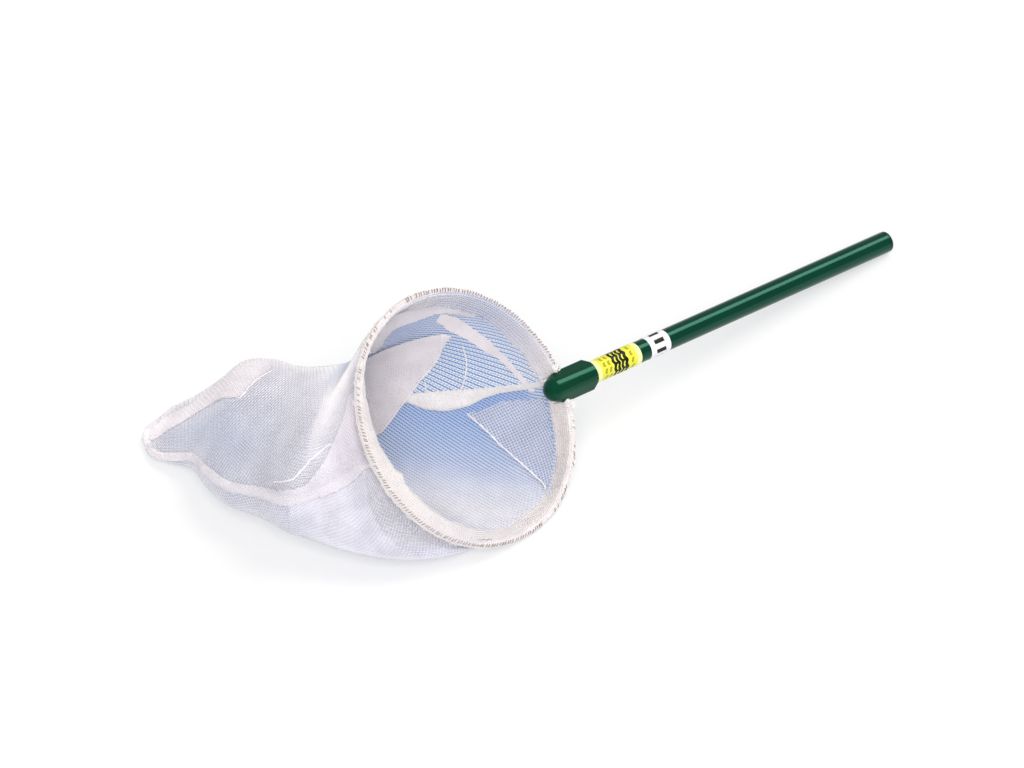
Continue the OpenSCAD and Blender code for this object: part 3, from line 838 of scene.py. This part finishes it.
def hem():
    """The casing of dense cloth with closed ends, and the netting's threads on it."""
    length = np.linspace(0, RIM_LEN[-1], int(RIM_LEN[-1] / 1.5))[:, None]
    s = np.linspace(0, PROFILE_S[-1], 40)[None, :]
    pos, _ = hem_surface(length, s, -0.4)       # the casing lies below the threads
    # painted shade and backdrop blue on the hem's inner face
    painted_tint = hem_painted_tint(length, s)
    caps = [np.broadcast_to(row.mean(0), (1, *row.shape)) for row in (pos[0], pos[-1])]
    pos = np.concatenate([caps[0], pos, caps[1]])
    painted_tint = np.concatenate([painted_tint[:1], painted_tint, painted_tint[-1:]])
    quads = grid_quads(*pos.shape[:2], closed=True)
    casing = mesh_object("rim_casing", pos.reshape(-1, 3), quads, HEM_CLOTH, painted_tint.ravel())
    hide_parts("rim_hem")
    s = np.linspace(0, PROFILE_S[-1], int(round(PROFILE_S[-1] / HEM_PITCH)))[None, :]
    slant = (s / PROFILE_S[-1] - 0.5) * 9       # the threads run aslant round the hem
    length = np.clip(np.arange(0, RIM_LEN[-1], HEM_PITCH)[:, None] + slant, 0, RIM_LEN[-1])
    verts, quads = whole_netting(*hem_surface(length, s, -0.05), HEM_THREAD_R)
    threads = mesh_object("rim_netting", verts, quads, HEM_THREAD, for_corners(hem_painted_tint(length, s), 3))


hem()


def stitches():
    """Short slanted stitches round the outside of the casing, and a row of running stitches inside it."""
    parts = []
    t = np.linspace(-1, 1, 6)
    count = int(RIM_LEN[-1] / STITCH_PITCH)
    for k in range(count):
        length = (k + 0.5) * RIM_LEN[-1] / count + rng.normal(0, 0.25)
        a = rim_angle(length)
        if any(start < a < end and rng.random() > kept for start, end, kept in SPARSE_STITCHES):
            continue
        reach = 0.85 + 0.3 * rng.random() + (0.7 if a < 100 else 0)     # half of the stitch's length
        middle = roll_place(length, 27) + rng.normal(0, 0.2)
        pos, _ = hem_surface(length + t * 0.65, middle + t * reach, 0.34 - 0.22 * t * t)
        parts.append(tube(pos, STITCH_R))
    for k in range(9):
        length = RIM_LEN[-1] * 0.71 + k * 1.3 + np.array([0, 0.6, 1.2])
        pos, _ = hem_surface(length, RIM_TOP + 6 + rng.normal(0, 0.5), 0.2)
        parts.append(tube(pos, RUNNING_STITCH_R))
    piece = mesh_object("rim_stitches", *merged(parts), STITCH)


stitches()


def edge_loops():
    """Loops of the netting's own thread that stand out along the hem's outer edge."""
    count, half_width, thread_r = 190, 1.1, 0.2
    parts = []
    t = np.linspace(0, np.pi, 8)
    for _ in range(count):
        length = rng.uniform(2, RIM_LEN[-1] - 2)
        height = 0.45 * rng.uniform(1.2, 2.6)
        place = roll_place(length, rng.uniform(60, 105))
        pos, normal = hem_surface(length + half_width * np.cos(t), place, 0.0)
        parts.append(tube(pos + normal * (np.sin(t) * height)[:, None], thread_r))
    piece = mesh_object("rim_loops", *merged(parts), HEM_THREAD)


edge_loops()


def bridge():
    """Edge of the skirt that passes under the boot from one end of the hem to the other."""
    overlap, thread_r = 2.0, 0.34
    a = np.arange(HEM_TO - 360 - overlap, HEM_FROM + overlap + 0.01, 0.5)
    d = np.linspace(HEM_DROP - 1.6, HEM_DROP + 0.6, 4)
    rim, down = laid(oval(a)), skirt(a % 360)
    pos = rim[:, None] + down[:, None] * d[None, :, None]
    normal = unit(np.cross(down, np.gradient(rim, axis=0)))
    verts, quads = whole_netting(pos, np.broadcast_to(normal[:, None], pos.shape), thread_r)
    piece = mesh_object("rim_bridge", verts, quads, HEM_THREAD)


bridge()


def ties():
    """Turns of thread that hold the hem's ends beside the boot, with loose loops on them."""
    throat_y = SLEEVE_R + FIT + WIRE_R + THROAT_R       # of the bends from the hoop into the wire's tails
    throat_sine = (-throat_y - HOOP_SHIFT) / (FRONT_R + THROAT_R)
    tie_y = -HOOP_SHIFT - FRONT_R * throat_sine         # where the ties start, just past the bends
    parts = []
    for side in (1, -1):
        turns = np.linspace(-0.6, 2.4, 80)
        a = side * beside_handle(side, tie_y + TIE_PITCH * turns)
        centre, out = laid(oval(a)), hoop_out(a)
        phi = 2 * np.pi * turns
        around = out * np.cos(phi)[:, None] + UP * np.sin(phi)[:, None]
        parts.append(tube(centre + TIE_R * around, TIE_THREAD_R))
        for loop in range(5 if side > 0 else 3):
            turn = np.linspace(0, 2 * np.pi, 22)
            middle = centre[20 + loop * 10] + UP * 2.6 + out[0] * rng.uniform(-1, 1.5)
            spread = rng.uniform(2.6, 4.2)
            ahead = unit(out[0] + 0.8 * rng.normal(size=3))
            aside = unit(np.cross(UP, ahead))
            pos = (middle + ahead * (np.sin(turn) * spread)[:, None]
                   + aside * (np.sin(2 * turn) * spread * 0.5)[:, None]
                   + UP * (0.9 + 0.7 * np.cos(turn))[:, None])
            parts.append(tube(pos, LOOP_THREAD_R))
    piece = mesh_object("tie_threads", *merged(parts), WHITE_THREAD)
    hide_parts("hem_ties")


ties()


# ---------------------------------------------------------------- handle, wire and labels

def metal_material(name, colour, roughness):
    """Drawn metal with fine scratches."""
    mat, nodes, links, bsdf = new_material(name)
    dark = tuple(c * 0.85 for c in colour)
    shade = mixed(nodes, links, noise_factor(nodes, links, 300.0, 0.3, 0.7), dark, colour)
    links.new(shade, bsdf.inputs["Base Color"])
    bump(nodes, links, bsdf, noise_factor(nodes, links, 1500.0, 0.3, 0.7), 0.2, 0.0001)
    put(bsdf, Metallic=1.0, Roughness=roughness)
    return mat


def along_handle(nodes, links):
    """Distance along the handle and angle round it, as two sockets."""
    place = nodes.new("ShaderNodeTexCoord")
    shift = nodes.new("ShaderNodeVectorMath")
    shift.operation = "SUBTRACT"
    shift.inputs[1].default_value = tuple(laid([0, 0, 0]) * MM)
    links.new(place.outputs["Object"], shift.inputs[0])
    parts = []
    for axis in LIE.T:
        dot = nodes.new("ShaderNodeVectorMath")
        dot.operation = "DOT_PRODUCT"
        dot.inputs[1].default_value = tuple(axis)
        links.new(shift.outputs[0], dot.inputs[0])
        parts.append(dot.outputs["Value"])
    return parts[0], math_node(nodes, links, "ARCTAN2", parts[1], parts[2])


def label_span(node_name):
    """Where a label's CAD piece starts and ends along the handle, in metres."""
    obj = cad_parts[node_name]
    points = np.array([obj.matrix_world @ vertex.co for vertex in obj.data.vertices])
    along = (points - laid([0, 0, 0]) * MM) @ LIE[:, 0]
    return float(along.min()), float(along.max())


def label_material(name, node_name, ground, edge, marks):
    """Printed film with pale borders and generic marks: rings and blocks along and round the handle."""
    mat, nodes, links, bsdf = new_material(name)
    x, angle = along_handle(nodes, links)
    start, end = label_span(node_name)

    def m(operation, *values):
        return math_node(nodes, links, operation, *values)

    def between(value, low, high):
        return m("MULTIPLY", m("GREATER_THAN", value, low), m("LESS_THAN", value, high))

    along = m("DIVIDE", m("SUBTRACT", x, start), end - start)
    wobble = m("MULTIPLY", m("SINE", m("MULTIPLY", angle, 9.0)), 0.012)
    dark = tuple(c * 0.94 for c in ground)
    colour = mixed(nodes, links, noise_factor(nodes, links, 120.0, 0.3, 0.7), dark, ground)
    colour = mixed(nodes, links, between(along, 0.1, 0.9), edge, colour)
    for low, high, repeats, share, shade in marks:
        block = between(m("ADD", along, wobble), low, high)
        if repeats:
            turn = m("FRACT", m("MULTIPLY", m("DIVIDE", angle, 2 * math.pi), repeats))
            block = m("MULTIPLY", block, m("LESS_THAN", turn, share))
        colour = mixed(nodes, links, block, colour, shade)
    links.new(colour, bsdf.inputs["Base Color"])
    put(bsdf, Roughness=0.45, Specular_IOR_Level=0.3)
    return mat


INK, OLIVE = (0.006, 0.010, 0.004), (0.42, 0.36, 0.015)
YELLOW, PALE_YELLOW = (0.85, 0.83, 0.06), (0.96, 0.97, 0.40)
WHITE, PALE_WHITE = (0.90, 0.87, 0.89), (0.93, 0.91, 0.92)
BAND_MARKS = [      # from, to, repeats round the handle, share of each repeat, colour
    (0.37, 0.69, 0, 1, INK), (0.43, 0.46, 9, 0.7, YELLOW), (0.515, 0.535, 0, 1, YELLOW),
    (0.59, 0.62, 9, 0.7, YELLOW), (0.17, 0.22, 10, 0.7, OLIVE), (0.27, 0.32, 10, 0.7, OLIVE),
    (0.77, 0.82, 10, 0.7, OLIVE),
]
SIZE_MARKS = [(0.26, 0.74, 7, 0.45, INK)]
FITTINGS = {
    "handle_tube": metal_material("tube_metal", (0.72, 0.73, 0.74), 0.35),
    "hoop_wire": metal_material("wire_steel", (0.62, 0.63, 0.65), 0.3),
    "handle_sleeve": GREEN_VINYL,
    "rear_plug": PLUG_PLASTIC,
    "hoop_boot": BOOT_VINYL,
    "band_label": label_material("yellow_film", "band_label", YELLOW, PALE_YELLOW, BAND_MARKS),
    "size_label": label_material("white_film", "size_label", WHITE, PALE_WHITE, SIZE_MARKS),
}
for node_name, mat in FITTINGS.items():
    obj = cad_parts[node_name]
    obj.data.materials.clear()
    obj.data.materials.append(mat)


# ---------------------------------------------------------------- stage, light and camera

def floor_material():
    """Pale floor that shows white to the camera and keeps a faint shadow."""
    mat, nodes, links, bsdf = new_material("floor_pale")
    nodes.remove(bsdf)
    path = nodes.new("ShaderNodeLightPath")
    mirrored = math_node(
        nodes, links, "MAXIMUM", path.outputs["Is Glossy Ray"], path.outputs["Is Transmission Ray"])
    seen = math_node(nodes, links, "MAXIMUM", path.outputs["Is Camera Ray"], mirrored)
    plain = nodes.new("ShaderNodeBsdfDiffuse")
    put(plain, Color=(0.80, 0.85, 0.94, 1))
    shown = nodes.new("ShaderNodeBsdfDiffuse")
    put(shown, Color=(0.42, 0.41, 0.39, 1))
    glow = nodes.new("ShaderNodeEmission")
    put(glow, Color=(0.53, 0.54, 0.56, 1))
    add = nodes.new("ShaderNodeAddShader")
    links.new(shown.outputs[0], add.inputs[0])
    links.new(glow.outputs[0], add.inputs[1])
    mix = nodes.new("ShaderNodeMixShader")
    links.new(seen, mix.inputs[0])
    links.new(plain.outputs[0], mix.inputs[1])
    links.new(add.outputs[0], mix.inputs[2])
    links.new(mix.outputs[0], nodes["Material Output"].inputs["Surface"])
    return mat


FLOOR_SIZE, FLOOR_GAP = 40, 0.0002      # in metres, the gap under the net
bpy.ops.mesh.primitive_plane_add(size=FLOOR_SIZE, location=(0, 0, -FLOOR_GAP))
floor = bpy.context.object
floor.name = "floor"
floor.data.materials.append(floor_material())

world = bpy.data.worlds.new("studio")
bpy.context.scene.world = world
world.use_nodes = True
put(world.node_tree.nodes["Background"], Color=(0.93, 0.96, 1.0, 1), Strength=0.46)


def soft_lamp(name, direction, strength, angle, colour):
    """Large even softbox far away: a sun lamp with a wide angle."""
    data = bpy.data.lights.new(name, "SUN")
    data.energy = strength
    data.angle = math.radians(angle)
    data.color = colour
    lamp = bpy.data.objects.new(name, data)
    lamp.rotation_mode = "QUATERNION"
    lamp.rotation_quaternion = Vector(direction).to_track_quat("Z", "Y")
    bpy.context.scene.collection.objects.link(lamp)
    return lamp


soft_lamp("key", (1.0, -0.05, 1.45), 1.2, 33, (1.0, 0.99, 0.97))
front_lamp = soft_lamp("front", (-0.40, -0.50, 0.75), 1.93, 38, (1.0, 0.98, 0.97))
front_lamp.visible_glossy = False

# The camera's line of sight, the point it looks at and its distance from it in metres
LOOK = Vector((0.4590, 0.5594, -0.6903)).normalized()
AIM = Vector((-0.10080, -0.08681, 0.10527))
DISTANCE = 4.0
LENS_PIXELS, PHOTO_WIDTH, SENSOR = 5554, 1024, 36       # focal length in pixels of the photo; sensor in mm
camera_data = bpy.data.cameras.new("camera")
camera_data.sensor_width = SENSOR
camera_data.lens = LENS_PIXELS * SENSOR / PHOTO_WIDTH
camera_data.clip_end = 100
camera = bpy.data.objects.new("camera", camera_data)
side = LOOK.cross(Vector((0, 0, 1))).normalized()
turned = Matrix((side, side.cross(LOOK), -LOOK)).transposed().to_4x4()
camera.matrix_world = Matrix.Translation(AIM - LOOK * DISTANCE) @ turned
bpy.context.scene.collection.objects.link(camera)
bpy.context.scene.camera = camera
bpy.context.scene.view_settings.view_transform = "Standard"
